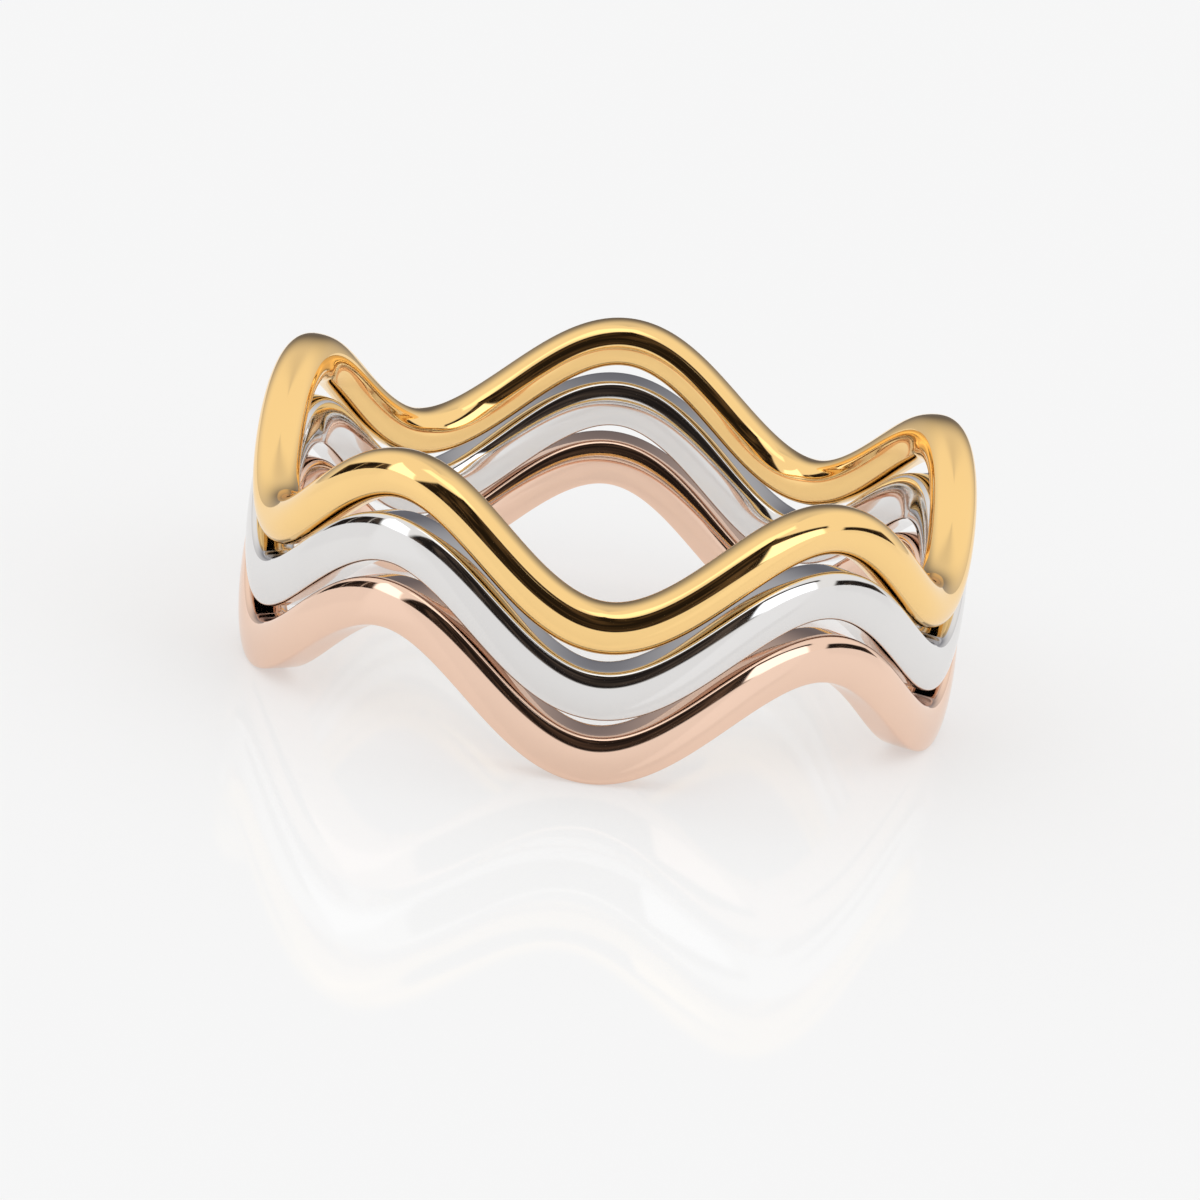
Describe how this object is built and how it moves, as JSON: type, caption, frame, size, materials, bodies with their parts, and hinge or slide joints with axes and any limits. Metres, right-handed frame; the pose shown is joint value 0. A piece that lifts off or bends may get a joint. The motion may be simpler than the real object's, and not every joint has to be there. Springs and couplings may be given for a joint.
{
  "type": "wave ring",
  "caption": "Finger ring of nested wavy round-wire bands in yellow, white and rose gold, polished all over, worn as one.",
  "frame": {"origin": "centre of the footprint, on the surface that the lowest band's troughs stand on", "axes": "+Z along the finger hole, away from the surface; one trough of every band faces -Y"},
  "size_m": [0.0198, 0.0198, 0.0077],
  "materials": {
    "rose_gold": "mirror-polished rose gold",
    "white_gold": "mirror-polished white gold",
    "yellow_gold": "mirror-polished yellow gold"
  },
  "bodies": {
    "root": {"rose_band": "rose_gold", "white_band": "white_gold", "yellow_band": "yellow_gold"}
  },
  "joints": []
}
